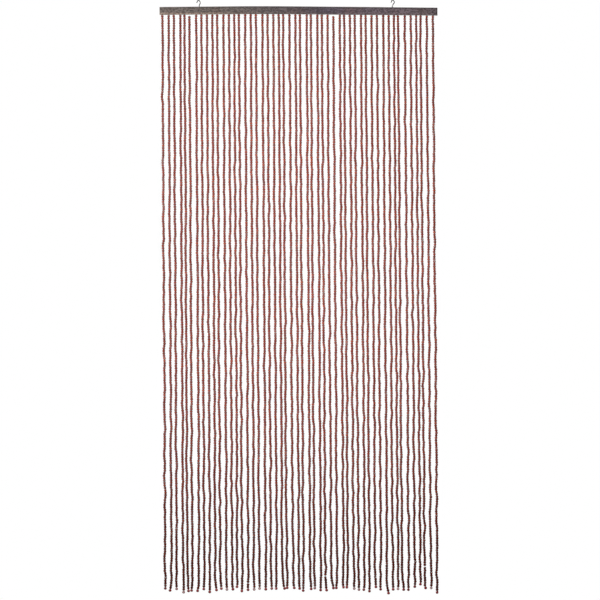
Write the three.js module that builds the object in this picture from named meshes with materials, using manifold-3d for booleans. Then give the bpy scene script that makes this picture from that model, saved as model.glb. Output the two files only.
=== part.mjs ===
// A bead curtain hanging from its wooden rail, in millimetres.
// The frame: +X along the rail, -Y to the viewer, +Z up, origin at the centre of the rail's top face.
// Fifty strands hang from a header strip that is caught in a slot routed along the rail's underside.
// Two screw hooks stand in the rail's top edge. Each strand is a square column of its beads' outer size,
// with the lean, the long waves and the bent foot that its string has.
import * as THREE from "three";
import { mergeVertices } from "three/addons/utils/BufferGeometryUtils.js";
import Module from "manifold-3d";

const wasm = await Module();
wasm.setup();

// Driving dimensions of the rail and of the slot in its underside
const RAIL_LENGTH = 900;
const RAIL_HEIGHT = 25;
const RAIL_DEPTH = 12;
const RAIL_CHAMFER = 1;
const CLEARANCE = 0.3;
const SLOT_NECK_WIDTH = 2.4;
const SLOT_LIP_HEIGHT = 2.5;
const SLOT_CHANNEL_WIDTH = 5;
const SLOT_CHANNEL_HEIGHT = 2.8;
const STRIP_END_MARGIN = 4;

// Driving dimensions of the strands
const STRANDS = 50;
const BEAD_PITCH = 7.93;
const END_BEAD = 9.5;
const BEADS_PER_STRAND = 234;
const COLUMN_WIDTH = 8;
const ROOT_WIDTH = 1.6;
const COLUMN_BEVEL = 1.6;
const COLUMN_STEPS = 20;
const STEP_CROWDING = 1.3;
const FIRST_STRAND_INSET = 10.5;
const LAST_STRAND_INSET = 17;
const TOP_GAP = 0.4;

// How unevenly the strands hang
const LEAN_AT_FOOT = 12;
const SPREAD_AT_FOOT = 5;
const HOLE_UNEVENNESS = 2.2;
const LENGTH_UNEVENNESS = 3;
const FOOT_BEND_LENGTH = 75;
const FOOT_UNEVENNESS = 1.8;
const DEPTH_SHARE = 0.7;
const STIFF_TOP = 90;
const WAVES = [
  { length: 1300, swing: 0.35 },
  { length: 620, swing: 0.4 },
  { length: 370, swing: 0.4 },
  { length: 250, swing: 0.5 },
  { length: 165, swing: 0.55 },
];

// The strands that stand out, counted from 0 at the left
const SHIFTED_HOLES = [
  { strand: 3, aside: 3.2 },
  { strand: 5, aside: -3 },
  { strand: 14, aside: -2.8 },
  { strand: 26, aside: 2.9 },
  { strand: 32, aside: 3.2 },
  { strand: 37, aside: -2.1 },
  { strand: 43, aside: -3.9 },
  { strand: 47, aside: -2.3 },
];
const LOW_STARTS = [
  { strand: 5, drop: 4.5 },
  { strand: 31, drop: 4.5 },
];
const ODD_LENGTHS = [
  { strand: 1, longer: 4 },
  { strand: 3, longer: 10 },
  { strand: 4, longer: 6 },
  { strand: 6, longer: 6 },
  { strand: 8, longer: 10 },
  { strand: 9, longer: 4 },
  { strand: 13, longer: -6 },
  { strand: 14, longer: 8 },
  { strand: 15, longer: 4 },
  { strand: 25, longer: 6 },
  { strand: 28, longer: 4 },
  { strand: 29, longer: 4 },
  { strand: 31, longer: -8 },
  { strand: 32, longer: -6 },
  { strand: 33, longer: -6 },
  { strand: 37, longer: 6 },
  { strand: 38, longer: -8 },
  { strand: 40, longer: 12 },
  { strand: 45, longer: -10 },
  { strand: 46, longer: -18 },
  { strand: 47, longer: -6 },
  { strand: 48, longer: -6 },
  { strand: 49, longer: 8 },
];
const FOOT_BENDS = [
  { strand: 1, aside: -4.5 },
  { strand: 4, aside: 2.5 },
  { strand: 5, aside: -4.5 },
  { strand: 6, aside: -7 },
  { strand: 8, aside: -2 },
  { strand: 9, aside: 2.5 },
  { strand: 10, aside: 2.5 },
  { strand: 12, aside: 2.5 },
  { strand: 19, aside: 1.5 },
  { strand: 21, aside: 7.5 },
  { strand: 22, aside: 3.5 },
  { strand: 23, aside: 5 },
  { strand: 24, aside: 2 },
  { strand: 28, aside: -3.5 },
  { strand: 29, aside: 2.5 },
  { strand: 30, aside: 8 },
  { strand: 31, aside: -1.5 },
  { strand: 33, aside: -4 },
  { strand: 36, aside: -2 },
  { strand: 40, aside: 4 },
  { strand: 43, aside: 3.5 },
  { strand: 47, aside: 4 },
];

// Driving dimensions of the screw hooks: the arch's middle and half width, seen from its own shank
const HOOK_WIRE = 2.8;
const HOOK_SCREWED_IN = 14;
const HOOK_SIDES = 8;
const HOOK_STEPS = 26;
const HOOKS = [
  { name: "hook_left", x: -321.5, archX: -2.3, archZ: 13, halfWidth: 5.8, rise: 8.2 },
  { name: "hook_right", x: 304, archX: 1.2, archZ: 16.6, halfWidth: 5.5, rise: 7.2 },
];

const railWood = new THREE.MeshStandardMaterial({ color: "#645b57", roughness: 0.55, metalness: 0 });
const beadWood = new THREE.MeshStandardMaterial({ color: "#5c201a", roughness: 0.3, metalness: 0 });
const steel = new THREE.MeshStandardMaterial({ color: "#8d8e90", roughness: 0.35, metalness: 0.9 });

// Converts a closed three.js geometry to a solid for joining and cutting, and back.
function toSolid(geometry) {
  const bare = geometry.clone();
  bare.deleteAttribute("normal");
  bare.deleteAttribute("uv");
  const merged = mergeVertices(bare, 1e-4);
  const vertProperties = merged.attributes.position.array;
  const triVerts = new Uint32Array(merged.index.array);
  return new wasm.Manifold(new wasm.Mesh({ numProp: 3, vertProperties, triVerts }));
}

function toGeometry(solid) {
  const mesh = solid.getMesh();
  const geometry = new THREE.BufferGeometry();
  geometry.setAttribute("position", new THREE.BufferAttribute(mesh.vertProperties, 3));
  geometry.setIndex(new THREE.BufferAttribute(mesh.triVerts, 1));
  geometry.computeVertexNormals();
  return geometry;
}

function namedMesh(name, geometry, material) {
  const mesh = new THREE.Mesh(geometry, material);
  mesh.name = name;
  return mesh;
}

// A repeatable number from -1 to 1 for one strand and one use of it.
function chance(strand, use) {
  const scattered = Math.sin(strand * 12.9898 + use * 78.233) * 43758.5453;
  return 2 * (scattered - Math.floor(scattered)) - 1;
}

function noted(table, strand, column, otherwise) {
  const row = table.find((entry) => entry.strand === strand);
  return row ? row[column] : otherwise;
}

// Where a strand's string leaves the rail, how low its first bead hangs and how long its beads run
function holeX(strand) {
  const first = FIRST_STRAND_INSET - RAIL_LENGTH / 2;
  const pitch = (RAIL_LENGTH - FIRST_STRAND_INSET - LAST_STRAND_INSET) / (STRANDS - 1);
  return first + pitch * strand + noted(SHIFTED_HOLES, strand, "aside", HOLE_UNEVENNESS * chance(strand, 1));
}

function topZ(strand) {
  return -RAIL_HEIGHT - TOP_GAP - noted(LOW_STARTS, strand, "drop", 0);
}

function beadedLength(strand) {
  const longer = noted(ODD_LENGTHS, strand, "longer", LENGTH_UNEVENNESS * chance(strand, 2));
  return BEADS_PER_STRAND * BEAD_PITCH + longer + END_BEAD;
}

// How far a strand lies from the plumb line under its hole, at a depth below its first bead's top
function sway(strand, depth) {
  const length = beadedLength(strand);
  const down = Math.max(0, depth) / length;
  const loose = Math.min(1, Math.max(0, depth) / STIFF_TOP) * (0.6 + 0.5 * down);
  const bend = Math.max(0, (depth - length + FOOT_BEND_LENGTH) / FOOT_BEND_LENGTH) ** 2;
  const wave = (use) =>
    WAVES.reduce((sum, { length: span, swing }, row) => {
      const turn = 2 * Math.PI * (depth / span) + Math.PI * chance(strand, use + row);
      return sum + swing * Math.sin(turn);
    }, 0);
  const lean = LEAN_AT_FOOT + SPREAD_AT_FOOT * (strand / (STRANDS - 1) - 0.5);
  const footAside = noted(FOOT_BENDS, strand, "aside", FOOT_UNEVENNESS * chance(strand, 3));
  return {
    x: lean * down + loose * wave(10) + bend * footAside,
    y: DEPTH_SHARE * (loose * wave(30) + bend * FOOT_UNEVENNESS * chance(strand, 4)),
  };
}

// The rail: a chamfered batten with a T-shaped slot along its underside, bored for the hooks' shanks
function railGeometry() {
  const half = RAIL_DEPTH / 2;
  const neck = SLOT_NECK_WIDTH / 2;
  const channel = SLOT_CHANNEL_WIDTH / 2;
  const lip = SLOT_LIP_HEIGHT - RAIL_HEIGHT;
  const roof = lip + SLOT_CHANNEL_HEIGHT;
  const rightSide = [
    [neck, -RAIL_HEIGHT],
    [half - RAIL_CHAMFER, -RAIL_HEIGHT],
    [half, RAIL_CHAMFER - RAIL_HEIGHT],
    [half, -RAIL_CHAMFER],
    [half - RAIL_CHAMFER, 0],
  ];
  const slotSide = [
    [channel, roof],
    [channel, lip],
    [neck, lip],
  ];
  const mirrored = (side) => side.map(([y, z]) => [-y, z]).reverse();
  const outline = [...rightSide, ...mirrored(rightSide), ...mirrored(slotSide), ...slotSide];
  const section = new THREE.Shape(outline.map(([y, z]) => new THREE.Vector2(y, z)));
  const batten = new THREE.ExtrudeGeometry(section, { depth: RAIL_LENGTH, bevelEnabled: false });
  batten.translate(0, 0, -RAIL_LENGTH / 2);
  batten.applyMatrix4(
    new THREE.Matrix4().makeBasis(
      new THREE.Vector3(0, 1, 0),
      new THREE.Vector3(0, 0, 1),
      new THREE.Vector3(1, 0, 0),
    ),
  );
  let rail = toSolid(batten);
  for (const { x } of HOOKS) {
    const deep = HOOK_SCREWED_IN + CLEARANCE;
    const bore = new THREE.CylinderGeometry(
      HOOK_WIRE / 2 + CLEARANCE,
      HOOK_WIRE / 2 + CLEARANCE,
      2 * deep,
      2 * HOOK_SIDES,
    );
    bore.rotateX(Math.PI / 2);
    bore.translate(x, 0, 0);
    rail = rail.subtract(toSolid(bore));
  }
  return toGeometry(rail);
}

// A hook: a straight shank that leans into a pointed arch, open at the lower left
function hookGeometry({ archX, archZ, halfWidth, rise }) {
  const neckZ = archZ / 4;
  const route = [
    [0, -HOOK_SCREWED_IN],
    [0, -HOOK_SCREWED_IN / 2],
    [0, 0],
    [0.1, neckZ],
    [0.45 * (archX + halfWidth), 0.62 * archZ],
    [archX + halfWidth, archZ],
    [archX + 0.6 * halfWidth, archZ + 0.62 * rise],
    [archX, archZ + rise],
    [archX - 0.6 * halfWidth, archZ + 0.62 * rise],
    [archX - halfWidth, archZ - 0.15 * rise],
  ];
  const wire = new THREE.CatmullRomCurve3(route.map(([x, z]) => new THREE.Vector3(x, 0, z)), false, "centripetal");
  const section = new THREE.Shape().absarc(0, 0, HOOK_WIRE / 2, 0, 2 * Math.PI, false);
  return new THREE.ExtrudeGeometry(section, {
    steps: HOOK_STEPS,
    curveSegments: HOOK_SIDES / 2,
    extrudePath: wire,
  });
}

// The rings of one strand from its root in the strip to its foot: depth below the first bead's top, width
function strandRings(strand, rootTop) {
  const length = beadedLength(strand);
  const rings = [
    { depth: topZ(strand) - rootTop, width: ROOT_WIDTH },
    { depth: 0, width: ROOT_WIDTH },
    { depth: COLUMN_BEVEL, width: COLUMN_WIDTH },
  ];
  for (let step = 1; step < COLUMN_STEPS; step += 1) {
    const down = 1 - (1 - step / COLUMN_STEPS) ** STEP_CROWDING;
    rings.push({ depth: down * length, width: COLUMN_WIDTH });
  }
  rings.push({ depth: length - COLUMN_BEVEL, width: COLUMN_WIDTH });
  rings.push({ depth: length, width: COLUMN_WIDTH - 2 * COLUMN_BEVEL });
  return rings;
}

// A strand: a four-sided cylinder whose rings are moved to the string's path and given their widths
function strandGeometry(strand, rootTop) {
  const rings = strandRings(strand, rootTop);
  const spans = rings.length - 1;
  const column = new THREE.CylinderGeometry(Math.SQRT1_2, Math.SQRT1_2, spans, 4, spans);
  column.rotateY(Math.PI / 4);
  column.rotateX(Math.PI / 2);
  const corner = column.attributes.position;
  for (let i = 0; i < corner.count; i += 1) {
    const ring = rings[Math.round(spans / 2 - corner.getZ(i))];
    const offset = sway(strand, ring.depth);
    corner.setXYZ(
      i,
      holeX(strand) + offset.x + ring.width * corner.getX(i),
      offset.y + ring.width * corner.getY(i),
      topZ(strand) - ring.depth,
    );
  }
  return column;
}

// The header strip in the rail's slot, with every strand's root fused into it
function strandsGeometry() {
  const width = SLOT_CHANNEL_WIDTH - 2 * CLEARANCE;
  const height = SLOT_CHANNEL_HEIGHT - 2 * CLEARANCE;
  const middle = SLOT_LIP_HEIGHT - RAIL_HEIGHT + SLOT_CHANNEL_HEIGHT / 2;
  const strip = new THREE.BoxGeometry(RAIL_LENGTH - 2 * STRIP_END_MARGIN, width, height);
  strip.translate(0, 0, middle);
  let strands = toSolid(strip);
  for (let strand = 0; strand < STRANDS; strand += 1) {
    strands = strands.add(toSolid(strandGeometry(strand, middle)));
  }
  return toGeometry(strands);
}

const curtain = new THREE.Group();
curtain.add(namedMesh("rail", railGeometry(), railWood));
curtain.add(namedMesh("strands", strandsGeometry(), beadWood));
for (const hook of HOOKS) {
  const mesh = namedMesh(hook.name, hookGeometry(hook), steel);
  mesh.position.x = hook.x;
  curtain.add(mesh);
}

export default curtain;
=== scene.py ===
# %% [markdown]
# # A bead curtain on its wooden rail
# Fifty strings of small lacquered wooden beads hang below a stained batten, which two screw hooks
# carry. The construction comes packed from the frame: a rail, a block of four-sided strands and two
# plain hooks. This lesson dresses it. Each strand becomes single beads on a clear string, the rail
# gets its rounded edges and its grain, and the hooks get a finer wire and a screw thread.
# Lengths are in metres, +X runs along the rail, -Y faces the viewer and +Z is up.

# %% Load the frame
import math

import bmesh
import bpy
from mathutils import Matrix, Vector


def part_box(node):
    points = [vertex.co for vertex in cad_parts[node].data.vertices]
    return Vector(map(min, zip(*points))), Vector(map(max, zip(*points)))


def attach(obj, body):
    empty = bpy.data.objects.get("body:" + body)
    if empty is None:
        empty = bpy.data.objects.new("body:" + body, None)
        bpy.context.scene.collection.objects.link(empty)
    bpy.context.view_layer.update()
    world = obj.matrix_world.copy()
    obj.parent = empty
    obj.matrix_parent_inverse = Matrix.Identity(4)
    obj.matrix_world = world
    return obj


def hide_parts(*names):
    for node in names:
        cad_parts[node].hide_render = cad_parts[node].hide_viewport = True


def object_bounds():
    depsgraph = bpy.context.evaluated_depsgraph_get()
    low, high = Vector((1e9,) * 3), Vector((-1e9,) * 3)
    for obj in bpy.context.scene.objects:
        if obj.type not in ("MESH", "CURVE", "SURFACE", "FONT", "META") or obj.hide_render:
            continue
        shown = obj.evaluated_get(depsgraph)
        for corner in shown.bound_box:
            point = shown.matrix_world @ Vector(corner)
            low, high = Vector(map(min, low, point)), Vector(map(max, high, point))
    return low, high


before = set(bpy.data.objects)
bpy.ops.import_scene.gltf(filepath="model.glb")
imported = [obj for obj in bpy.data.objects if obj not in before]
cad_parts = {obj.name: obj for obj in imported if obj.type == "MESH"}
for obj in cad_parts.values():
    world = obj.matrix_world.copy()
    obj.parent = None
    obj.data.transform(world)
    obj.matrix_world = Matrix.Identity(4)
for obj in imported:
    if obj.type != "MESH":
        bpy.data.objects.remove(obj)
cad_box = [list(corner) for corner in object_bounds()]
MM = 0.001
RAIL_LOW, RAIL_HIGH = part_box("rail")
RAIL_LENGTH = RAIL_HIGH.x - RAIL_LOW.x
print("frame box", [[round(value, 4) for value in corner] for corner in cad_box])

# %% [markdown]
# ## The view
# The photograph is a catalogue picture taken squarely from the front with a long lens, so the rail
# stays level and the strands stay parallel. A camera twelve metres away gives that. The lens follows
# from the width that the picture spans at the curtain, and the picture's middle lies a little to the
# right of the rail's own middle.

# %% Camera
PICTURE_WIDTH = 1.9438
VIEW_MIDDLE = Vector((0.0049, 0.0, -0.9515))
CAMERA_DISTANCE = 12.0
SENSOR = 36.0

camera_data = bpy.data.cameras.new("camera")
camera_data.sensor_width = SENSOR
camera_data.lens = SENSOR * CAMERA_DISTANCE / PICTURE_WIDTH
camera = bpy.data.objects.new("camera", camera_data)
camera.location = VIEW_MIDDLE - Vector((0.0, CAMERA_DISTANCE, 0.0))
camera.rotation_euler = (math.pi / 2, 0.0, 0.0)
bpy.context.scene.collection.objects.link(camera)
bpy.context.scene.camera = camera
bpy.context.scene.view_settings.view_transform = "Standard"
print("lens", round(camera_data.lens, 1), "mm")

# %% [markdown]
# ## Keeping the beads crisp
# In the picture a bead is only two and a half pixels tall. Before it cleans a render, Cycles' denoiser
# smooths the guide pictures of colour and shape that it works from, and the beads would melt into plain
# lines. So it is told to take those guides as they are.

# %% Denoiser guides
bpy.context.scene.cycles.denoising_prefilter = "NONE"
print("guides smoothed first:", bpy.context.scene.cycles.denoising_prefilter)

# %% [markdown]
# ## A rail that isn't quite straight
# The batten has warped, as thin softwood does: it rises to a crest left of its middle and falls by a
# few millimetres towards both ends. The construction keeps it straight, so that its top stays a true
# plane. Here everything that hangs on the rail follows `warp`, which falls evenly from a rounded crest.

# %% Warp of the rail
WARP_CREST = -0.118
WARP_ROUNDING = 0.065
WARP_SLOPE = 0.0095


def warp(x):
    """How far the rail lies above its straight line, a distance along it."""
    return -WARP_SLOPE * (math.hypot(x - WARP_CREST, WARP_ROUNDING) - WARP_ROUNDING)


print("the ends lie at", [round(warp(x) / MM, 1) for x in (RAIL_LOW.x, RAIL_HIGH.x)], "mm")

# %% [markdown]
# ## Nodes written as expressions
# A finish is easier to read as a formula than as a list of links. `Wire` wraps one output socket and
# overloads the arithmetic operators, so that `1 - mask * 0.5` adds its own Math nodes. `Tree.node`
# adds any other node: its type, then its settings, then what goes into its sockets, and which output
# to hand on, by name or place. The same two serve the shader trees and the geometry trees.

# %% Wires and trees
class Wire:
    """One output socket, with arithmetic that adds Math nodes."""

    def __init__(self, socket):
        self.socket = socket

    def _maths(self, operation, *values):
        node = self.socket.id_data.nodes.new("ShaderNodeMath")
        node.operation = operation
        for place, value in enumerate(values):
            plug(node.inputs[place], value)
        return Wire(node.outputs[0])

    def __add__(self, other):
        return self._maths("ADD", self, other)

    def __sub__(self, other):
        return self._maths("SUBTRACT", self, other)

    def __rsub__(self, other):
        return self._maths("SUBTRACT", other, self)

    def __mul__(self, other):
        return self._maths("MULTIPLY", self, other)

    def __truediv__(self, other):
        return self._maths("DIVIDE", self, other)

    def __mod__(self, other):
        return self._maths("FLOORED_MODULO", self, other)

    def __pow__(self, other):
        return self._maths("POWER", self, other)

    def __abs__(self):
        return self._maths("ABSOLUTE", self)

    def floor(self):
        return self._maths("FLOOR", self)

    __radd__ = __add__
    __rmul__ = __mul__


def plug(socket, value):
    if isinstance(value, Wire):
        socket.id_data.links.new(value.socket, socket)
    else:
        socket.default_value = value


class Tree:
    """A node tree that is filled by one method."""

    def __init__(self, tree):
        self.tree = tree

    def node(self, kind, settings=None, sockets=None, out=0, stops=None):
        node = self.tree.nodes.new(kind)
        for name, value in (settings or {}).items():
            setattr(node, name, value)
        if stops:
            set_stops(node.color_ramp, stops)
        for name, value in (sockets or {}).items():
            plug(node.inputs[name], value)
        return Wire(node.outputs[out])


def set_stops(ramp, stops):
    while len(ramp.elements) < len(stops):
        ramp.elements.new(1.0)
    for element, (position, colour) in zip(ramp.elements, stops):
        element.position = position
        element.color = (*colour, 1.0)


print("wires and trees are ready")

# %% [markdown]
# ## A finish
# Every material here is one Principled shader. The helper below starts one, and adds the few shapes
# that the finishes share: a smooth step between two values, a mix of two colours, a lighter or darker
# colour, a noise on a stretched place, and a bump. Colours are given as they look on screen and turned
# to linear light.

# %% Finishes
def screen(red, green, blue):
    """A colour read off a screen, 0 to 255, as linear light."""
    shares = [value / 255 for value in (red, green, blue)]
    return tuple(s / 12.92 if s <= 0.04045 else ((s + 0.055) / 1.055) ** 2.4 for s in shares)


class Finish(Tree):
    """One material with a Principled shader."""

    def __init__(self, name):
        self.material = bpy.data.materials.new(name)
        self.material.use_nodes = True
        super().__init__(self.material.node_tree)
        self.shader = self.tree.nodes["Principled BSDF"]

    def set(self, **sockets):
        for name, value in sockets.items():
            plug(self.shader.inputs[name.replace("_", " ")], value)

    def attribute(self, name, out="Fac"):
        return self.node("ShaderNodeAttribute", {"attribute_name": name}, out=out)

    def place(self):
        return self.node("ShaderNodeTexCoord", out="Object")

    def parts(self, vector):
        node = self.node("ShaderNodeSeparateXYZ", sockets={0: vector}).socket.node
        return [Wire(output) for output in node.outputs]

    def step(self, value, low, high):
        settings = {"interpolation_type": "SMOOTHSTEP"}
        return self.node("ShaderNodeMapRange", settings, {0: value, 1: low, 2: high})

    def mix(self, share, first, second):
        colours = [(*c, 1.0) if isinstance(c, tuple) else c for c in (first, second)]
        settings = {"data_type": "RGBA"}
        return self.node("ShaderNodeMix", settings, {0: share, 6: colours[0], 7: colours[1]}, out=2)

    def scaled(self, colour, factor):
        settings = {"operation": "SCALE"}
        return self.node("ShaderNodeVectorMath", settings, {0: colour, "Scale": factor})

    def stretched(self, vector, stretch):
        return self.node("ShaderNodeMapping", sockets={"Vector": vector, "Scale": stretch})

    def noise(self, vector, scale, detail=2.0, roughness=0.5):
        sockets = {"Vector": vector, "Scale": scale, "Detail": detail, "Roughness": roughness}
        return self.node("ShaderNodeTexNoise", sockets=sockets)

    def bump(self, height, strength, distance):
        sockets = {"Strength": strength, "Distance": distance, "Height": height}
        self.set(Normal=self.node("ShaderNodeBump", sockets=sockets))


print("finish helper is ready")

# %% [markdown]
# ## Lacquered bead wood
# The beads are hardwood, dyed red-brown and dipped in gloss lacquer. No two took the dye alike, so each
# bead carries a random `tone`, and the finish turns it into a colour. `bead_place` is the spot within
# the bead, in millimetres from its middle. It carries the grain, which runs along the hole, a painted
# light that lightens the bead's belly and a painted shade that darkens it towards its rims, where it
# meets its neighbours. A tone above one marks the end beads, whose dye is a fresher, lighter red.

# %% Bead finish
BEAD_LENGTH = 7.86
BEAD_RADIUS = 4.62
GRAIN_SHIFT = 61.0
GRAIN_SQUEEZE = 0.3
# Where the belly's painted light, the rims' painted shade and the plain beads' tones start and where
# they are full: in millimetres from the bead's middle, and the last as a tone.
LIT_BELLY = (2.4, 0.3)
SHADED_RIM = (1.5, 3.0)
PLAIN_TONES = (1.4, 1.0)


def bead_finish():
    wood = Finish("bead lacquer")
    tone = wood.attribute("tone")
    spot = wood.attribute("bead_place", "Vector")
    across, deep, along = wood.parts(spot)
    sockets = {0: across + tone * GRAIN_SHIFT, 1: deep, 2: along * GRAIN_SQUEEZE}
    shifted = wood.node("ShaderNodeCombineXYZ", sockets=sockets)
    grain = wood.noise(shifted, 0.9, 3.0, 0.65)
    dye = wood.node(
        "ShaderNodeValToRGB",
        sockets={0: tone * 0.5},
        stops=[
            (0.0, screen(88, 26, 17)),
            (0.12, screen(106, 29, 14)),
            (0.42, screen(121, 36, 14)),
            (0.5, screen(152, 62, 25)),
            (0.7, screen(196, 70, 76)),
            (1.0, screen(228, 116, 116)),
        ],
    )
    plain = wood.step(tone, *PLAIN_TONES)
    colour = wood.mix(wood.step(grain, 0.5, 0.66) * plain * 0.5, dye, screen(69, 17, 9))
    # Painted light: each bead's belly is lightened, as if lit.
    lit_belly = wood.step(abs(along), *LIT_BELLY) * wood.step(grain, 0.56, 0.38) * plain
    colour = wood.mix(lit_belly * 0.55, colour, screen(191, 67, 29))
    # Painted shade: each bead darkens towards its rims, where it meets its neighbours.
    shaded_rim = wood.step(abs(along), *SHADED_RIM) * (0.25 + plain * 0.7)
    colour = wood.mix(shaded_rim, colour, screen(74, 19, 12))
    wood.set(Base_Color=colour, Roughness=0.26 + 0.16 * grain, Specular_IOR_Level=0.4)
    wood.set(Coat_Weight=0.6, Coat_Roughness=0.07)
    wood.bump(grain, 0.3, 0.12 * MM)
    return wood.material


BEAD_WOOD = bead_finish()
print("finish", BEAD_WOOD.name, len(BEAD_WOOD.node_tree.nodes), "nodes")

# %% [markdown]
# ## Stained rail wood
# The rail is a planed softwood batten with a thin grey-brown stain. Its grain runs along the rail, so
# the noise is read on a place that is squeezed along X. The stain is thinner and warmer on the left
# half's lower edge, darkest right of the middle and cooler from there on. The top edge is darker, and
# short flecks of a few millimetres break the stain up. A painted shade darkens the right end's last few
# millimetres. A small knot sits below the left hook, with a painted highlight, a pale glint, beside it.

# %% Rail finish
KNOT = Vector((-0.3232, 0.0, -0.0115))
# A pale glint beside the knot, painted into the colour as a highlight.
GLINT = Vector((-0.3156, 0.0, -0.0085))
KNOT_REACH = 4.2
GLINT_REACH = 3.2
SPOT_FLATNESS = 1.7
SPOT_RAGGEDNESS = 6.0
FLECK_STRETCH = (1.0, 1.5, 1.5)
# Where each change of colour starts and where it is full, along the rail or up its face; at the right end
# it is a painted shade.
COOL_SIDE = (-0.41, -0.08)
RIGHT_END_SHADE = (0.4455, 0.4475)
LOWER_EDGE = (-0.017, -0.0235)
UPPER_EDGE = (-0.009, -0.001)


def near(wood, along, up, ragged, spot, radius):
    """One at a spot on the rail's face, falling to nothing a ragged radius away, in millimetres."""
    away = ((along - spot.x) ** 2 + ((up - spot.z) * SPOT_FLATNESS) ** 2) ** 0.5
    away = away + (ragged - 0.5) * (SPOT_RAGGEDNESS * MM)
    return wood.step(away, radius * MM, radius * MM * 0.2)


def rail_finish():
    wood = Finish("rail stain")
    place = wood.attribute("rail_place", "Vector")
    along, _, up = wood.parts(place)
    drift = wood.noise(place, 9.0)
    grain = wood.noise(wood.stretched(place, (6.0, 160.0, 160.0)), 4.0, 4.0, 0.6)
    pores = wood.noise(wood.stretched(place, (30.0, 900.0, 900.0)), 3.0, 2.0, 0.5)
    side = wood.step(along, *COOL_SIDE)
    stain = wood.node(
        "ShaderNodeValToRGB",
        sockets={0: along / RAIL_LENGTH + 0.5},
        stops=[
            (0.0, screen(103, 98, 94)),
            (0.25, screen(91, 87, 84)),
            (0.52, screen(74, 69, 75)),
            (0.6, screen(73, 68, 80)),
            (0.8, screen(94, 85, 94)),
            (1.0, screen(98, 92, 98)),
        ],
    )
    colour = wood.mix(wood.step(grain, 0.42, 0.66) * 0.6, stain, screen(50, 43, 44))
    colour = wood.mix(wood.step(drift, 0.5, 0.72) * 0.4, colour, screen(86, 66, 60))
    lower = wood.step(up, *LOWER_EDGE) * (1 - side * 0.85)
    colour = wood.mix(lower * 0.85, colour, screen(146, 130, 118))
    upper = wood.step(up, *UPPER_EDGE)
    colour = wood.mix(upper * (0.25 + side * 0.25), colour, screen(42, 40, 42))
    colour = wood.mix(wood.step(pores, 0.6, 0.75) * 0.4, colour, screen(40, 33, 33))
    fleck = wood.step(wood.noise(wood.stretched(place, FLECK_STRETCH), 185.0, 1.0), 0.37, 0.63)
    colour = wood.scaled(colour, 0.63 + fleck * 0.85)
    # Painted shade: the right end's last few millimetres are darkened.
    colour = wood.mix(wood.step(along, *RIGHT_END_SHADE) * 0.8, colour, screen(34, 29, 30))
    knot = near(wood, along, up, grain, KNOT, KNOT_REACH)
    # Painted highlight: the pale glint beside the knot lightens the colour there.
    glint = near(wood, along, up, grain, GLINT, GLINT_REACH)
    colour = wood.mix(knot * 0.85, colour, screen(34, 26, 25))
    colour = wood.mix(glint * 0.6, colour, screen(176, 164, 154))
    wood.set(Base_Color=colour, Roughness=0.5 + 0.2 * pores, Specular_IOR_Level=0.35)
    wood.bump(grain * 0.5 + pores, 0.35, 0.15 * MM)
    return wood.material


RAIL_WOOD = rail_finish()
print("finish", RAIL_WOOD.name, len(RAIL_WOOD.node_tree.nodes), "nodes")

# %% [markdown]
# ## Steel wire and clear string
# The hooks are plain dulled wire, with fine scuffs and a few darker spots. The string is a clear nylon
# line. So thin, it shows as a pale glossy thread.

# %% Wire and string finishes
def wire_finish():
    steel = Finish("hook wire")
    place = steel.place()
    scuffs = steel.noise(place, 900.0, 3.0, 0.6)
    spots = steel.noise(place, 260.0)
    colour = steel.mix(steel.step(spots, 0.5, 0.7) * 0.6, screen(78, 78, 80), screen(42, 40, 40))
    steel.set(Base_Color=colour, Metallic=1.0, Roughness=0.24 + 0.25 * scuffs)
    steel.bump(scuffs, 0.2, 0.05 * MM)
    return steel.material


def string_finish():
    line = Finish("clear string")
    milky = line.noise(line.place(), 420.0)
    colour = line.mix(milky, screen(236, 234, 230), screen(206, 202, 196))
    line.set(Base_Color=colour, Roughness=0.25 + 0.1 * milky, Specular_IOR_Level=0.6)
    return line.material


HOOK_STEEL = wire_finish()
STRING = string_finish()
print("finishes", HOOK_STEEL.name, "and", STRING.name)

# %% [markdown]
# ## How the strings hang
# Each string leans a little to the right, waves gently and bends at its foot. The numbers repeat the
# part's own, so the beads lie where its columns lie. `chance` is a repeatable number from -1 to 1 for
# one strand and one use of it. A few strands stand out in the photograph and are listed: where
# their hole is off the even spacing, whose beads start low, which are longer or shorter, and which
# feet bend.

# %% Strings
STRANDS = 50
BEAD_PITCH = 7.93
END_BEAD = 9.5
BEADS_PER_STRAND = 234
FIRST_STRAND_INSET = 10.5
LAST_STRAND_INSET = 17
TOP_GAP = 0.4
LEAN_AT_FOOT = 12
SPREAD_AT_FOOT = 5
HOLE_UNEVENNESS = 2.2
LENGTH_UNEVENNESS = 3
FOOT_BEND_LENGTH = 75
FOOT_UNEVENNESS = 1.8
DEPTH_SHARE = 0.7
STIFF_TOP = 90
LOOSE_ABOVE = 0.6
LOOSER_BELOW = 0.5
WAVES = [(1300, 0.35), (620, 0.4), (370, 0.4), (250, 0.5), (165, 0.55)]
SHIFTED_HOLES = {3: 3.2, 5: -3, 14: -2.8, 26: 2.9, 32: 3.2, 37: -2.1, 43: -3.9, 47: -2.3}
LOW_STARTS = {5: 4.5, 31: 4.5}
LONGER = {1: 4, 3: 10, 4: 6, 6: 6, 8: 10, 9: 4, 14: 8, 15: 4, 25: 6, 28: 4, 29: 4, 37: 6, 40: 12, 49: 8}
SHORTER = {13: -6, 31: -8, 32: -6, 33: -6, 38: -8, 45: -10, 46: -18, 47: -6, 48: -6}
BENT_LEFT = {1: -4.5, 5: -4.5, 6: -7, 8: -2, 28: -3.5, 31: -1.5, 33: -4, 36: -2}
BENT_RIGHT = {4: 2.5, 9: 2.5, 10: 2.5, 12: 2.5, 19: 1.5, 21: 7.5, 22: 3.5, 23: 5, 24: 2, 29: 2.5, 30: 8}
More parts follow.
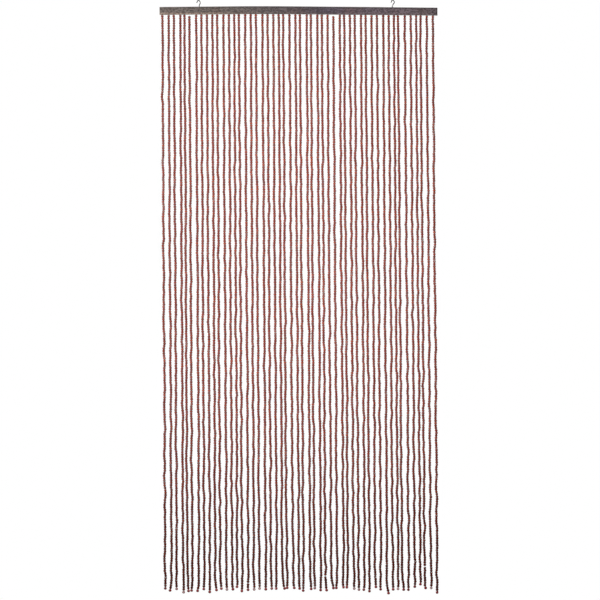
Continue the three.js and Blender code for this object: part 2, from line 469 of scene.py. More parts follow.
BENT_RIGHT.update({40: 4, 43: 3.5, 47: 4})
ODD_LENGTHS = {**LONGER, **SHORTER}
FOOT_BENDS = {**BENT_LEFT, **BENT_RIGHT}


def chance(strand, use):
    """The fraction that a large sine leaves, spread from -1 to 1."""
    scattered = math.sin(strand * 12.9898 + use * 78.233) * 43758.5453
    return 2 * (scattered - math.floor(scattered)) - 1


def hole_x(strand):
    first = RAIL_LOW.x / MM + FIRST_STRAND_INSET
    pitch = (RAIL_LENGTH / MM - FIRST_STRAND_INSET - LAST_STRAND_INSET) / (STRANDS - 1)
    return first + pitch * strand + SHIFTED_HOLES.get(strand, HOLE_UNEVENNESS * chance(strand, 1))


def top_z(strand):
    return RAIL_LOW.z / MM - TOP_GAP - LOW_STARTS.get(strand, 0) + warp(hole_x(strand) * MM) / MM


def beaded_length(strand):
    """How long the beads run, without the end bead."""
    longer = ODD_LENGTHS.get(strand, LENGTH_UNEVENNESS * chance(strand, 2))
    return BEADS_PER_STRAND * BEAD_PITCH + longer


def bead_count(strand):
    return round(beaded_length(strand) / BEAD_PITCH)


print("beads in all", sum(bead_count(strand) + 1 for strand in range(STRANDS)))

# %% [markdown]
# The part's columns carry the long waves alone. The beads add short ripples, because their holes are
# wider than the string and each bead finds its own seat. Some strands ripple more than others.

# %% Path of a string
RIPPLES = [(126, 0.36), (103, 0.44), (84, 0.36), (69, 0.34), (55, 0.28), (44, 0.22), (34, 0.2), (26, 0.13)]
RIPPLE_SPREAD = 0.35


def wave_at(strand, depth, use, rows):
    return sum(
        swing * math.sin(2 * math.pi * depth / span + math.pi * chance(strand, use + row))
        for row, (span, swing) in enumerate(rows)
    )


def string_point(strand, depth):
    """Where the string is at a depth below its first bead's top, in millimetres."""
    length = beaded_length(strand) + END_BEAD
    down = max(0, depth) / length
    loose = min(1, max(0, depth) / STIFF_TOP) * (LOOSE_ABOVE + LOOSER_BELOW * down)
    bend = max(0, (depth - length + FOOT_BEND_LENGTH) / FOOT_BEND_LENGTH) ** 2
    lean = LEAN_AT_FOOT + SPREAD_AT_FOOT * (strand / (STRANDS - 1) - 0.5)
    aside = FOOT_BENDS.get(strand, FOOT_UNEVENNESS * chance(strand, 3))
    ripple = 1 + RIPPLE_SPREAD * chance(strand, 9)
    waves = wave_at(strand, depth, 10, WAVES) + ripple * wave_at(strand, depth, 20, RIPPLES)
    depth_waves = wave_at(strand, depth, 30, WAVES) + ripple * wave_at(strand, depth, 40, RIPPLES)
    x = hole_x(strand) + lean * down + loose * waves + bend * aside
    y = DEPTH_SHARE * (loose * depth_waves + bend * FOOT_UNEVENNESS * chance(strand, 4))
    return Vector((x, y, top_z(strand) - depth)) * MM


print("a foot lies at", [round(value, 3) for value in string_point(0, beaded_length(0))])

# %% [markdown]
# ## Geometry trees
# What repeats is made by Geometry Nodes. `geometry_tree` starts a tree whose first input is the
# incoming geometry, and whose other inputs are named. `grown` puts such a tree on an object and sets
# its inputs by their identifiers. Then `applied` keeps the result as a plain mesh and takes the
# modifier off again.

# %% Tree and mesh helpers
SOCKET_KINDS = {
    float: "NodeSocketFloat",
    int: "NodeSocketInt",
    "object": "NodeSocketObject",
    "material": "NodeSocketMaterial",
}


def geometry_tree(name, inputs):
    tree = bpy.data.node_groups.new(name, "GeometryNodeTree")
    tree.interface.new_socket("Geometry", in_out="INPUT", socket_type="NodeSocketGeometry")
    for title, kind in {**inputs, "Material": "material"}.items():
        tree.interface.new_socket(title, in_out="INPUT", socket_type=SOCKET_KINDS[kind])
    tree.interface.new_socket("Geometry", in_out="OUTPUT", socket_type="NodeSocketGeometry")
    builder = Tree(tree)
    entry = tree.nodes.new("NodeGroupInput")
    given = {output.name: Wire(output) for output in entry.outputs if output.name}
    return builder, given


def finish_tree(builder, given, geometry):
    real = builder.node("GeometryNodeRealizeInstances", sockets={"Geometry": geometry})
    painted = builder.node(
        "GeometryNodeSetMaterial", sockets={"Geometry": real, "Material": given["Material"]}
    )
    leave = builder.tree.nodes.new("NodeGroupOutput")
    plug(leave.inputs[0], painted)
    return builder.tree


def new_object(name, points, edges=(), faces=()):
    mesh = bpy.data.meshes.new(name)
    mesh.from_pydata(points, edges, faces)
    thing = bpy.data.objects.new(name, mesh)
    bpy.context.scene.collection.objects.link(thing)
    return thing


def object_from(shape, name):
    """An object, not yet in the scene, with the bmesh as its mesh."""
    mesh = bpy.data.meshes.new(name)
    shape.to_mesh(mesh)
    shape.free()
    return bpy.data.objects.new(name, mesh)


def applied(thing):
    """The object with its modifiers turned into its mesh."""
    seen = thing.evaluated_get(bpy.context.evaluated_depsgraph_get())
    result = bpy.data.meshes.new_from_object(seen)
    thing.modifiers.clear()
    spare, thing.data = thing.data, result
    bpy.data.meshes.remove(spare)
    return thing


def grown(thing, tree, values):
    """The object with its mesh replaced by what the tree makes of it."""
    modifier = thing.modifiers.new(tree.name, "NODES")
    modifier.node_group = tree
    for item in tree.interface.items_tree:
        if item.in_out == "INPUT" and item.name in values:
            modifier[item.identifier] = values[item.name]
    thing.update_tag()
    return applied(thing)


def triangles(thing):
    return sum(len(face.vertices) - 2 for face in thing.data.polygons)


def settle(thing, node):
    """Attaches a finished piece to the root and hides the part that it stands for."""
    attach(thing, "root")
    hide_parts(node)


print("tree helpers are ready")

# %% [markdown]
# ## One bead
# Seen closely, a bead is a ball with flat ends where it meets its neighbours. It is turned from an
# outline of rings. As there are thousands of them, it has only eight sides, a little larger than the
# real radius so that its mean width is right, and smooth shading rounds it off up to its sharp rims. A
# bead inside a strand is closed at its ends, since no one sees its hole. Two attributes go with it:
# `bead_place` for the finish, and a map for baking, unrolled around the bead.

# %% Bead mesh
BEAD_RINGS = [(2.85, 1.0), (4.12, 0.56), (BEAD_RADIUS, 0.0), (4.12, -0.56), (2.85, -1.0)]
BEAD_SIDES = 8
CAP_ROOM = 0.1
TUNNEL_SET_IN = 0.4
RIM_ANGLE = math.radians(50)


def new_circle(shape, place_layer, radius, z, sides):
    circle = []
    for side in range(sides):
        turn = 2 * math.pi * side / sides
        vert = shape.verts.new(Vector((radius * math.cos(turn), radius * math.sin(turn), z)) * MM)
        vert[place_layer] = vert.co / MM
        circle.append(vert)
    return circle


def band(shape, map_layer, upper, lower, v0, v1):
    """The faces between two circles with the same number of corners."""
    sides = len(upper)
    for side in range(sides):
        following = (side + 1) % sides
        face = shape.faces.new([upper[side], lower[side], lower[following], upper[following]])
        u0, u1 = side / sides, (side + 1) / sides
        for loop, place in zip(face.loops, ((u0, v0), (u0, v1), (u1, v1), (u1, v0))):
            loop[map_layer].uv = place


def cap(shape, map_layer, circle, middle):
    face = shape.faces.new(circle)
    for loop in face.loops:
        x, y, _ = loop.vert.co.normalized()
        loop[map_layer].uv = (middle[0] + x * CAP_ROOM / 2, middle[1] + y * CAP_ROOM / 2)


def turned_bead(name, rings, sides, tunnel_radius=None):
    """A bead with its hole along Z, closed by caps or, if it has a radius, by a tunnel."""
    if tunnel_radius:
        inside = tunnel_radius * TUNNEL_SET_IN
        mouths = [(tunnel_radius, rings[0][1] - inside), (tunnel_radius, rings[-1][1] + inside)]
        rings = [mouths[0], *rings, mouths[1]]
    shape = bmesh.new()
    place_layer = shape.verts.layers.float_vector.new("bead_place")
    map_layer = shape.loops.layers.uv.new("OFBake")
    circles = [new_circle(shape, place_layer, radius, z, sides) for radius, z in rings]
    bands = list(zip(circles, circles[1:]))
    if tunnel_radius:
        bands.append((circles[-1], circles[0]))
    else:
        cap(shape, map_layer, circles[0], (0.25, CAP_ROOM / 2))
        cap(shape, map_layer, circles[-1][::-1], (0.75, CAP_ROOM / 2))
    height = (1 - CAP_ROOM) / len(bands)
    for row, (upper, lower) in enumerate(bands):
        band(shape, map_layer, upper, lower, 1 - row * height, 1 - (row + 1) * height)
    bmesh.ops.recalc_face_normals(shape, faces=shape.faces)
    bead = object_from(shape, name)
    bead.data.shade_smooth()
    bead.data.set_sharp_from_angle(angle=RIM_ANGLE)
    return bead


row_rings = [(radius, share * BEAD_LENGTH / 2) for radius, share in BEAD_RINGS]
row_bead = turned_bead("row_bead", row_rings, BEAD_SIDES)
print("a bead has", triangles(row_bead), "triangles")

# %% [markdown]
# ## Beads on a string
# The tree takes a string as a line of edges with one corner for each bead's middle. Curve to Points
# keeps those corners and finds the string's direction at each, and a bead is set on each one. Random
# values, with a fixed seed for each strand, push a bead aside within its hole's play, spin it around
# the string, tip it a little, vary its girth and give it its `tone`. Last, each bead's unrolled map is
# moved to a cell of its own, so that a bake can hold every bead of the strand.

# %% Beading tree
PLAY = 0.35 * MM
TIP = math.radians(5)
GIRTH_SPREAD = 0.04
CELLS_ACROSS = 10
CELL_MARGIN = 0.06


def random_number(builder, low, high, seed):
    """A random float. The node repeats its socket names for each kind of value, so places are given."""
    return builder.node(
        "FunctionNodeRandomValue", {"data_type": "FLOAT"}, {2: low, 3: high, "Seed": seed}, out=1
    )


def vector_of(builder, values):
    return builder.node("ShaderNodeCombineXYZ", sockets=dict(enumerate(values)))


def stored(builder, geometry, name, kind, domain, value):
    return builder.node(
        "GeometryNodeStoreNamedAttribute",
        {"data_type": kind, "domain": domain},
        {"Geometry": geometry, "Name": name, "Value": value},
    )


def beading_tree():
    inputs = {"Bead": "object", "Play": float, "Tip": float, "Girth Spread": float}
    builder, given = geometry_tree("beads on a string", {**inputs, "Cells Up": float, "Seed": int})
    seed = given["Seed"]

    def chance_of(reach, use):
        return random_number(builder, reach * -1, reach, seed + use)

    line = builder.node("GeometryNodeMeshToCurve", sockets={"Mesh": given["Geometry"]})
    points = builder.node("GeometryNodeCurveToPoints", {"mode": "EVALUATED"}, {"Curve": line})
    facing = Wire(points.socket.node.outputs["Rotation"])
    aside = vector_of(builder, (chance_of(given["Play"], 1), chance_of(given["Play"], 2), 0.0))
    points = builder.node("GeometryNodeSetPosition", sockets={"Geometry": points, "Offset": aside})
    spin = random_number(builder, 0.0, 2 * math.pi, seed + 3)
    turns = vector_of(builder, (chance_of(given["Tip"], 4), chance_of(given["Tip"], 5), spin))
    turned = builder.node("FunctionNodeEulerToRotation", sockets={0: turns})
    facing = builder.node(
        "FunctionNodeRotateRotation", {"rotation_space": "LOCAL"}, {0: facing, 1: turned}
    )
    girth = 1 + chance_of(given["Girth Spread"], 6)
    bead = builder.node("GeometryNodeObjectInfo", sockets={"Object": given["Bead"]}, out="Geometry")
    sockets = {"Points": points, "Instance": bead, "Rotation": facing}
    sockets["Scale"] = vector_of(builder, (girth, girth, 1.0))
    beads = builder.node("GeometryNodeInstanceOnPoints", sockets=sockets)
    tone = random_number(builder, 0.0, 1.0, seed + 7)
    beads = stored(builder, beads, "tone", "FLOAT", "INSTANCE", tone)
    number = builder.node("GeometryNodeInputIndex")
    beads = stored(builder, beads, "bead_number", "INT", "INSTANCE", number)
    beads = builder.node("GeometryNodeRealizeInstances", sockets={"Geometry": beads})
    beads = map_to_cells(builder, beads, given["Cells Up"])
    return finish_tree(builder, given, beads)


def map_to_cells(builder, beads, cells_up):
    number = builder.node(
        "GeometryNodeInputNamedAttribute", {"data_type": "INT"}, {"Name": "bead_number"}
    )
    own = builder.node(
        "GeometryNodeInputNamedAttribute", {"data_type": "FLOAT_VECTOR"}, {"Name": "OFBake"}
    )
    split = builder.node("ShaderNodeSeparateXYZ", sockets={0: own}).socket.node
    inside = [CELL_MARGIN + Wire(split.outputs[axis]) * (1 - 2 * CELL_MARGIN) for axis in (0, 1)]
    across = (number % CELLS_ACROSS + inside[0]) / CELLS_ACROSS
    up = ((number / CELLS_ACROSS).floor() + inside[1]) / cells_up
    cell = vector_of(builder, (across, up, 0.0))
    return stored(builder, beads, "OFBake", "FLOAT2", "CORNER", cell)


BEADING = beading_tree()
print("tree", BEADING.name, len(BEADING.nodes), "nodes")

# %% [markdown]
# ## The fifty strands
# The beads of a strand share its length evenly. On three strands a few beads have slipped down near
# the foot and bare string shows above them. `SLIPPED` gives how many, and the gap in millimetres.

# %% String the beads
SLIPPED = {15: (2, 1.6), 29: (5, 2.6), 47: (8, 2.6)}
FIRST_SEED = 7
SEED_STEP = 100


def bead_depths(strand):
    """The depths of a strand's bead middles below its first bead's top."""
    count = bead_count(strand)
    slipped, gap = SLIPPED.get(strand, (count, 0.0))
    pitch = (beaded_length(strand) - gap) / count
    return [pitch * (n + 0.5) + (gap if n >= count - slipped else 0.0) for n in range(count)]


def string_strand(strand):
    depths = bead_depths(strand)
    points = [string_point(strand, depth) for depth in depths]
    links = [(number, number + 1) for number in range(len(points) - 1)]
    thing = new_object(f"beads_{strand + 1:02d}", points, links)
    values = {
        "Bead": row_bead,
        "Play": PLAY,
        "Tip": TIP,
        "Girth Spread": GIRTH_SPREAD,
        "Cells Up": float(math.ceil(len(points) / CELLS_ACROSS)),
        "Seed": SEED_STEP * strand + FIRST_SEED,
        "Material": BEAD_WOOD,
    }
    grown(thing, BEADING, values)
    settle(thing, "strands")
    return thing


strands = [string_strand(strand) for strand in range(STRANDS)]
print("strands", len(strands), "triangles", sum(triangles(thing) for thing in strands))

# %% [markdown]
# ## The strings
# The clear string shows only where a strand starts low, between the last bead and the end bead, and
# where beads have slipped a little. It is one thin tube from the rail's slot to each strand's foot.
# A line of edges becomes a tube by Curve to Mesh with a small circle as its outline.

# %% Strings
STRING_RADIUS = 0.35
STRING_SIDES = 4
STRING_STEP = 31.0
SLOT_ROOF = -20.5


def tube_tree():
    inputs = {"Radius": float, "Sides": int}
    builder, given = geometry_tree("tube along a line", inputs)
    line = builder.node("GeometryNodeMeshToCurve", sockets={"Mesh": given["Geometry"]})
    outline = builder.node(
        "GeometryNodeCurvePrimitiveCircle",
        sockets={"Resolution": given["Sides"], "Radius": given["Radius"]},
    )
    sockets = {"Curve": line, "Profile Curve": outline, "Fill Caps": True}
    return finish_tree(builder, given, builder.node("GeometryNodeCurveToMesh", sockets=sockets))


def lines_object(name, lines):
    """One object from several lines of points."""
    points, links = [], []
    for line in lines:
        links += [(len(points) + i, len(points) + i + 1) for i in range(len(line) - 1)]
        points += line
    return new_object(name, points, links)


def string_line(strand):
    beaded = beaded_length(strand)
    steps = math.ceil(beaded / STRING_STEP)
    root = Vector((hole_x(strand), 0.0, SLOT_ROOF)) * MM
    root.z += warp(root.x)
    return [root] + [string_point(strand, beaded * step / steps) for step in range(steps + 1)]


def tube(thing, radius, sides, material):
    """The object with its lines turned into tubes of a radius in millimetres."""
    return grown(thing, TUBE, {"Radius": radius * MM, "Sides": sides, "Material": material})


TUBE = tube_tree()
strings = lines_object("strings", [string_line(strand) for strand in range(STRANDS)])
tube(strings, STRING_RADIUS, STRING_SIDES, STRING)
strings.data.shade_smooth()
settle(strings, "strands")
print("strings", triangles(strings), "triangles")

# %% [markdown]
# ## The end beads
# A string can't just end: its last bead is turned crosswise and the string goes round through its
# hole and back up to a knot. So the end bead's hole lies level, and on about a quarter of the strands
# it faces the viewer and the ground shows through. One tree sets a piece on each foot and turns it by
# the foot's own `turn`. It serves the beads, the loops of string around them and the knots.

# %% Feet
END_RADIUS = 4.5
END_HALF_LENGTH = 4.1
END_HOLE_RADIUS = 1.6
KNOT_ROOM = 0.55
FACING_HOLES = (2, 3, 11, 16, 17, 27, 34, 35, 42, 48)
FACING_SPREAD = 14
SIDEWAYS = 90
SIDEWAYS_SPREAD = 62
FRESH_TONES = (1.4, 2.0)


def foot_turn(strand):
    if strand in FACING_HOLES:
        return math.radians(FACING_SPREAD * chance(strand, 5))
    return math.radians(SIDEWAYS + SIDEWAYS_SPREAD * chance(strand, 6))


def feet_object(name, drop):
    """A point for each strand's foot, at a distance below its last bead, with its turn."""
    spots = [string_point(s, beaded_length(s) + drop) for s in range(STRANDS)]
    feet = new_object(name, spots)
    turn = feet.data.attributes.new("turn", "FLOAT", "POINT")
    turn.data.foreach_set("value", [foot_turn(strand) for strand in range(STRANDS)])
    return feet


def feet_tree():
    builder, given = geometry_tree("a piece on each foot", {"Piece": "object", "Seed": int})
    turn = builder.node("GeometryNodeInputNamedAttribute", {"data_type": "FLOAT"}, {"Name": "turn"})
    turns = vector_of(builder, (0.0, 0.0, turn))
    facing = builder.node("FunctionNodeEulerToRotation", sockets={0: turns})
    points = builder.node("GeometryNodeMeshToPoints", sockets={"Mesh": given["Geometry"]})
    piece = builder.node("GeometryNodeObjectInfo", sockets={"Object": given["Piece"]}, out="Geometry")
    pieces = builder.node(
        "GeometryNodeInstanceOnPoints",
        sockets={"Points": points, "Instance": piece, "Rotation": facing},
    )
    tone = random_number(builder, *FRESH_TONES, given["Seed"])
    pieces = stored(builder, pieces, "tone", "FLOAT", "INSTANCE", tone)
    return finish_tree(builder, given, pieces)


FEET = feet_tree()
print("tree", FEET.name, len(FEET.nodes), "nodes")

# %% [markdown]
# The end bead is the same turned shape, a little larger and finer, laid with its hole along Y. The
# loop hugs the bead's outline from the knot down to each mouth of the hole, and runs through it.

# %% End beads, loops and knots
LOOP_STEPS = 7
LOOP_SWEEP = 78
LOOP_FULLNESS = 0.7
LOOP_IN_HOLE = 0.6
END_RINGS = 7
END_RIM = 2.6
END_SIDES = 12
STRING_KNOT_RADIUS = 0.85
FEET_SEED = 11


def end_rings():
    """A rounder outline than a row bead's: an arc that is flattened at both ends."""
    steepest = math.acos(END_RIM / END_RADIUS)
    turns = [steepest * (1 - 2 * ring / (END_RINGS - 1)) for ring in range(END_RINGS)]
    stretch = END_HALF_LENGTH / math.sin(steepest)
    return [(END_RADIUS * math.cos(turn), stretch * math.sin(turn)) for turn in turns]


def laid_over(thing):
    """The mesh turned so that its Z axis lies along Y."""
    for vert in thing.data.vertices:
        vert.co = Vector((vert.co.x, vert.co.z, -vert.co.y))
    thing.data.update()
    return thing


def loop_line():
    """Half a turn of string on each side of the end bead, joined through its hole."""
    quarter = []
    for step in range(LOOP_STEPS + 1):
        turn = math.radians(90 - LOOP_SWEEP * step / LOOP_STEPS)
        out = (END_HALF_LENGTH + STRING_RADIUS) * math.cos(turn) ** LOOP_FULLNESS
        quarter.append((out, (END_RADIUS + STRING_RADIUS) * math.sin(turn)))
    front = [Vector((0.0, -out, up)) * MM for out, up in quarter]
    back = [Vector((0.0, out, up)) * MM for out, up in reversed(quarter)]
    inside = LOOP_IN_HOLE * END_HALF_LENGTH
    mouths = [Vector((0.0, y, 0.0)) * MM for y in (-inside, inside)]
    return front + mouths + back


def knot_piece():
    shape = bmesh.new()
    bmesh.ops.create_uvsphere(shape, u_segments=7, v_segments=4, radius=STRING_KNOT_RADIUS * MM)
    knot = object_from(shape, "knot_piece")
    knot.data.shade_smooth()
    return knot


end_bead = laid_over(turned_bead("end_bead", end_rings(), END_SIDES, END_HOLE_RADIUS))
loop_piece = tube(lines_object("loop_piece", [loop_line()]), STRING_RADIUS, STRING_SIDES, STRING)
bpy.context.scene.collection.objects.unlink(loop_piece)
end_drop = KNOT_ROOM + END_RADIUS
feet_pieces = [
    ("end_beads", end_bead, end_drop, BEAD_WOOD, "bead_wood"),
    ("end_loops", loop_piece, end_drop, STRING, "string"),
    ("end_knots", knot_piece(), KNOT_ROOM / 2, STRING, "string"),
]
for name, piece, drop, material, slot in feet_pieces:
    values = {"Piece": piece, "Seed": FEET_SEED, "Material": material}
    made = grown(feet_object(name, drop), FEET, values)
    settle(made, "strands")
    print(name, triangles(made), "triangles")

# %% [markdown]
# ## The rail
# The rail is a planed batten with eased edges and a T-shaped slot along its underside, which holds
# the header cord. Its section is drawn once, with arcs at its four corners, and run along the rail in
# short spans. A Bevel modifier eases the two ends, and a Boolean bores the blind holes for the hooks'
# shanks. Then the straight place of each corner is kept for the finish, and the rail is warped.

# %% Rail
EASED = 1.3
EASE_STEPS = 4
END_EASED = 0.6
RAIL_SHARP_ANGLE = math.radians(40)
SLOT_NECK = 2.4
SLOT_LIP = 2.5
SLOT_CHANNEL = 5.0
SLOT_HEIGHT = 2.8
RAIL_SPANS = 30
SHANK_HOLE = 1.7
SHANK_DEPTH = 14.3
SHANK_SIDES = 20
HOOKS = {
    "hook_left": {"x": -321.5, "arch_x": -2.3, "arch_z": 13, "half_width": 5.8, "rise": 8.2},
    "hook_right": {"x": 304, "arch_x": 1.2, "arch_z": 16.6, "half_width": 5.5, "rise": 7.2},
}


def rail_section():
    """The section's corners from the slot's right mouth, round the outside and back into the slot."""
    half, foot = RAIL_HIGH.y / MM, RAIL_LOW.z / MM
    neck, channel = SLOT_NECK / 2, SLOT_CHANNEL / 2
    right = [(neck, foot)]
    for middle_z, first in ((foot + EASED, -90), (-EASED, 0)):
        for step in range(EASE_STEPS + 1):
            turn = math.radians(first + 90 * step / EASE_STEPS)
            right.append((half - EASED + EASED * math.cos(turn), middle_z + EASED * math.sin(turn)))
    lip, roof = foot + SLOT_LIP, foot + SLOT_LIP + SLOT_HEIGHT
    inside = [(channel, roof), (channel, lip), (neck, lip)]
    left = [(-y, z) for y, z in reversed(right)]
    left_inside = [(-y, z) for y, z in reversed(inside)]
    return right + left + left_inside + inside


def rail_blank():
    section = [(y * MM, z * MM) for y, z in rail_section()]
    count = len(section)
    stations = [RAIL_LOW.x + RAIL_LENGTH * span / RAIL_SPANS for span in range(RAIL_SPANS + 1)]
    points = [(x, y, z) for x in stations for y, z in section]
    sides = [
        (row + i, row + (i + 1) % count, row + count + (i + 1) % count, row + count + i)
        for row in range(0, RAIL_SPANS * count, count)
        for i in range(count)
    ]
    last = RAIL_SPANS * count
    ends = [tuple(range(count - 1, -1, -1)), tuple(range(last, last + count))]
    rail = new_object("rail_batten", points, faces=sides + ends)
    rail.data.materials.append(RAIL_WOOD)
    return rail


def shank_drill(name, x):
    shape = bmesh.new()
    bmesh.ops.create_cone(
        shape,
        cap_ends=True,
        segments=SHANK_SIDES,
        radius1=SHANK_HOLE * MM,
        radius2=SHANK_HOLE * MM,
        depth=2 * SHANK_DEPTH * MM,
    )
    bmesh.ops.translate(shape, verts=shape.verts, vec=(x * MM, 0.0, 0.0))
    drill = object_from(shape, name)
    bpy.context.scene.collection.objects.link(drill)
    return drill


def warped(thing):
    """The mesh, with each corner moved up or down as the rail is there."""
    for vert in thing.data.vertices:
        vert.co.z += warp(vert.co.x)
    thing.data.update()
    return thing


rail = rail_blank()
ease = rail.modifiers.new("ease", "BEVEL")
ease.width = END_EASED * MM
ease.segments = 2
ease.limit_method = "ANGLE"
ease.angle_limit = math.radians(80)
drills = [shank_drill(f"drill_{name}", hook["x"]) for name, hook in HOOKS.items()]
for drill in drills:
    bore = rail.modifiers.new("bore", "BOOLEAN")
    bore.operation = "DIFFERENCE"
    bore.object = drill
applied(rail)
for drill in drills:
    bpy.data.objects.remove(drill)
straight = rail.data.attributes.new("rail_place", "FLOAT_VECTOR", "POINT")
straight.data.foreach_set("vector", [value for vert in rail.data.vertices for value in vert.co])
warped(rail)
rail.data.shade_smooth()
rail.data.set_sharp_from_angle(angle=RAIL_SHARP_ANGLE)
settle(rail, "rail")
print("rail", triangles(rail), "triangles")

# %% [markdown]
# ## The header cord
# A braided cord lies in the slot and carries the strings. It shows only at the rail's ends and from
# below. Its flat oval section swells and shrinks a little along its length, as a braid does.

# %% Header cord
CORD_WIDTH = 4.0
CORD_HEIGHT = 1.9
CORD_MARGIN = 4.3
CORD_RINGS = 180
CORD_SIDES = 8
BRAID_SWELL = 0.06


def header_cord():
    middle = RAIL_LOW.z / MM + SLOT_LIP + SLOT_HEIGHT / 2
    reach = RAIL_HIGH.x / MM - CORD_MARGIN
    points, faces = [], []
    for ring in range(CORD_RINGS):
        x = -reach + 2 * reach * ring / (CORD_RINGS - 1)
        swell = 1 + BRAID_SWELL * (-1) ** ring
        for side in range(CORD_SIDES):
            turn = 2 * math.pi * side / CORD_SIDES
            y = CORD_WIDTH / 2 * math.cos(turn) * swell
            z = middle + CORD_HEIGHT / 2 * math.sin(turn) * (2 - swell)
            points.append(Vector((x, y, z)) * MM)
    for ring in range(CORD_RINGS - 1):
        for side in range(CORD_SIDES):
            a, b = ring * CORD_SIDES + side, ring * CORD_SIDES + (side + 1) % CORD_SIDES
            faces.append((a, b, b + CORD_SIDES, a + CORD_SIDES))
    last = (CORD_RINGS - 1) * CORD_SIDES
    faces.append(tuple(range(CORD_SIDES - 1, -1, -1)))
    faces.append(tuple(range(last, last + CORD_SIDES)))
    cord = new_object("header_cord", points, faces=faces)
    cord.data.materials.append(STRING)
    cord.data.shade_smooth()
    return warped(cord)


header = header_cord()
settle(header, "strands")
print("header cord", triangles(header), "triangles")

# %% [markdown]
# ## The screw hooks
# Each hook is one length of wire: a threaded shank, a leaning neck and a pointed arch. The route
# repeats the part's points and is smoothed as a curve before the tube is made. A second line winds
# around the shank as the crest of its screw thread.

# %% Hooks
HOOK_WIRE = 2.8
WIRE_SIDES = 14
WIRE_SHARP_ANGLE = math.radians(50)
HOOK_SCREWED_IN = 14
THREAD_TOP = 2.2
THREAD_PITCH = 1.3
THREAD_STEPS = 12
THREAD_RADIUS = 0.28
THREAD_SIDES = 4
ROUTE_STEPS = 6


def hook_route(arch_x, arch_z, half_width, rise):
    """The wire's points from its tip in the rail up over the arch, as X and Z in millimetres."""
    return [
        (0, -HOOK_SCREWED_IN),
        (0, -HOOK_SCREWED_IN / 2),
        (0, 0),
        (0.1, arch_z / 4),
        (0.45 * (arch_x + half_width), 0.62 * arch_z),
        (arch_x + half_width, arch_z),
        (arch_x + 0.6 * half_width, arch_z + 0.62 * rise),
        (arch_x, arch_z + rise),
        (arch_x - 0.6 * half_width, arch_z + 0.62 * rise),
        (arch_x - half_width, arch_z - 0.15 * rise),
    ]


def smoothed(route):
    """Points along a centripetal Catmull-Rom curve through the route's points."""
    knots = [Vector((x, 0.0, z)) for x, z in route]
    knots = [2 * knots[0] - knots[1], *knots, 2 * knots[-1] - knots[-2]]
    line = []
    for p0, p1, p2, p3 in zip(knots, knots[1:], knots[2:], knots[3:]):
        spans = [max((b - a).length, 1e-6) ** 0.5 for a, b in ((p0, p1), (p1, p2), (p2, p3))]
        lead = (p1 - p0) / spans[0] - (p2 - p0) / (spans[0] + spans[1]) + (p2 - p1) / spans[1]
        tail = (p2 - p1) / spans[1] - (p3 - p1) / (spans[1] + spans[2]) + (p3 - p2) / spans[2]
        lead, tail = lead * spans[1], tail * spans[1]
        for step in range(ROUTE_STEPS):
            t = step / ROUTE_STEPS
            line.append(
                p1 * (2 * t**3 - 3 * t**2 + 1)
                + lead * (t**3 - 2 * t**2 + t)
                + p2 * (3 * t**2 - 2 * t**3)
                + tail * (t**3 - t**2)
            )
    return [*line, knots[-2]]


def thread_line():
    rounds = (HOOK_SCREWED_IN + THREAD_TOP) / THREAD_PITCH
    line = []
    for step in range(int(rounds * THREAD_STEPS) + 1):
        turn = 2 * math.pi * step / THREAD_STEPS
        z = -HOOK_SCREWED_IN + THREAD_PITCH * step / THREAD_STEPS
        line.append(Vector((HOOK_WIRE / 2 * math.cos(turn), HOOK_WIRE / 2 * math.sin(turn), z)))
    return line


def at_hook(line, x):
    return [(point + Vector((x, 0.0, warp(x * MM) / MM))) * MM for point in line]


for name, hook in HOOKS.items():
    shape = {key: value for key, value in hook.items() if key != "x"}
    wire = lines_object(f"{name}_wire", [at_hook(smoothed(hook_route(**shape)), hook["x"])])
    tube(wire, HOOK_WIRE / 2, WIRE_SIDES, HOOK_STEEL)
    wire.data.shade_smooth()
    wire.data.set_sharp_from_angle(angle=WIRE_SHARP_ANGLE)
    settle(wire, name)
    thread = lines_object(f"{name}_thread", [at_hook(thread_line(), hook["x"])])
    tube(thread, THREAD_RADIUS, THREAD_SIDES, HOOK_STEEL)
    settle(thread, name)
    print(name, triangles(wire) + triangles(thread), "triangles")

# %% [markdown]
# ## Light, ground and floor
# The picture's ground is pure white, yet the beads' rims are dark, so the room around them wasn't.
# The world is therefore white to the camera alone, and dim and red to everything else, which keeps
# the dark rims reddish. The lamps are slightly warm. Two tall soft boxes stand well to the sides and
# give each bead a long highlight left and right of its middle. They carry grids, which narrow their
# beams, so the light fades towards the strands' feet as it does in the picture. A lamp above the
# camera gives the small highlight on each bead's brow, and one behind keeps the back readable. The
# floor is a pale sheet below the feet with a lamp of its own, which light linking keeps off the beads.
# The floor throws no light back at them either, so the feet stay dark.

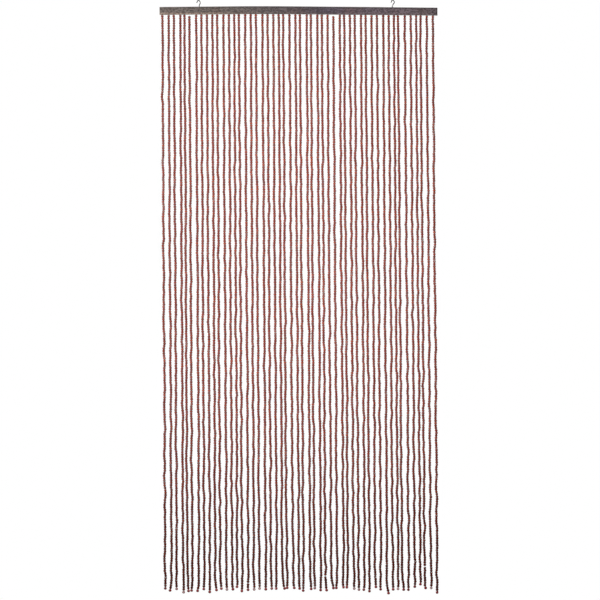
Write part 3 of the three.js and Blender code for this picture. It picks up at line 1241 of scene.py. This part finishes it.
# %% Light and floor
FLOOR_DROP = 0.2
FLOOR_HALF = 1.45
GROUND = (1.0, 1.0, 1.0, 1.0)
ROOM = (0.085, 0.02, 0.016, 1.0)
LAMP_TINT = (1.0, 0.975, 0.945)
LIGHTS = [
    # name, place, the X and Z of its aim, size, spread in degrees, power
    ("left box", (-2.3, -1.33, -0.74), (0.0, -0.74), (1.0, 1.66), 26, 9.9),
    ("right box", (2.3, -1.33, -0.74), (0.0, -0.74), (1.0, 1.66), 26, 3.45),
    ("brow lamp", (-0.1, -2.8, 3.0), (-0.15, -0.76), (0.5, 0.5), 28, 4.0),
    ("back lamp", (0.0, 3.0, 0.9), (0.0, -0.8), (2.0, 1.6), 140, 90.0),
    ("floor lamp", (0.0, 0.0, 3.0), (0.0, -2.0), (4.0, 4.0), 180, 220.0),
]


def set_world():
    world = bpy.data.worlds.new("studio")
    bpy.context.scene.world = world
    world.use_nodes = True
    world.node_tree.nodes.clear()
    builder = Tree(world.node_tree)
    ground = builder.node("ShaderNodeBackground", sockets={"Color": GROUND})
    room = builder.node("ShaderNodeBackground", sockets={"Color": ROOM})
    to_camera = builder.node("ShaderNodeLightPath")
    both = builder.node("ShaderNodeMixShader", sockets={0: to_camera, 1: room, 2: ground})
    out = world.node_tree.nodes.new("ShaderNodeOutputWorld")
    plug(out.inputs["Surface"], both)


def add_light(name, at, aim, size, spread, power):
    data = bpy.data.lights.new(name, "AREA")
    data.shape = "RECTANGLE"
    data.size, data.size_y = size
    data.energy = power
    data.color = LAMP_TINT
    data.spread = math.radians(spread)
    lamp = bpy.data.objects.new(name, data)
    lamp.location = at
    beam = Vector((aim[0], 0.0, aim[1])) - lamp.location
    lamp.rotation_euler = beam.to_track_quat("-Z", "Y").to_euler()
    lamp.visible_camera = False
    bpy.context.scene.collection.objects.link(lamp)
    return lamp


def add_floor():
    level = cad_box[0][2] - FLOOR_DROP
    corners = [(x * FLOOR_HALF, y * FLOOR_HALF, level) for x, y in ((-1, -1), (1, -1), (1, 1), (-1, 1))]
    floor = new_object("floor", corners, faces=[(0, 1, 2, 3)])
    paint = Finish("floor paint")
    mottle = paint.noise(paint.place(), 3.0, 2.0)
    paint.set(Base_Color=paint.mix(mottle, screen(236, 235, 232), screen(228, 227, 225)), Roughness=0.9)
    floor.data.materials.append(paint.material)
    floor.visible_diffuse = False
    floor.visible_glossy = False
    return floor


set_world()
lamps = [add_light(*light) for light in LIGHTS]
floor = add_floor()
only_floor = bpy.data.collections.new("only the floor")
only_floor.objects.link(floor)
lamps[-1].light_linking.receiver_collection = only_floor
print("lights", len(LIGHTS), "floor at", round(floor.data.vertices[0].co.z, 3))

# %% [markdown]
# ## A last update
# The view layer is brought up to date.

# %% Last update
bpy.context.view_layer.update()
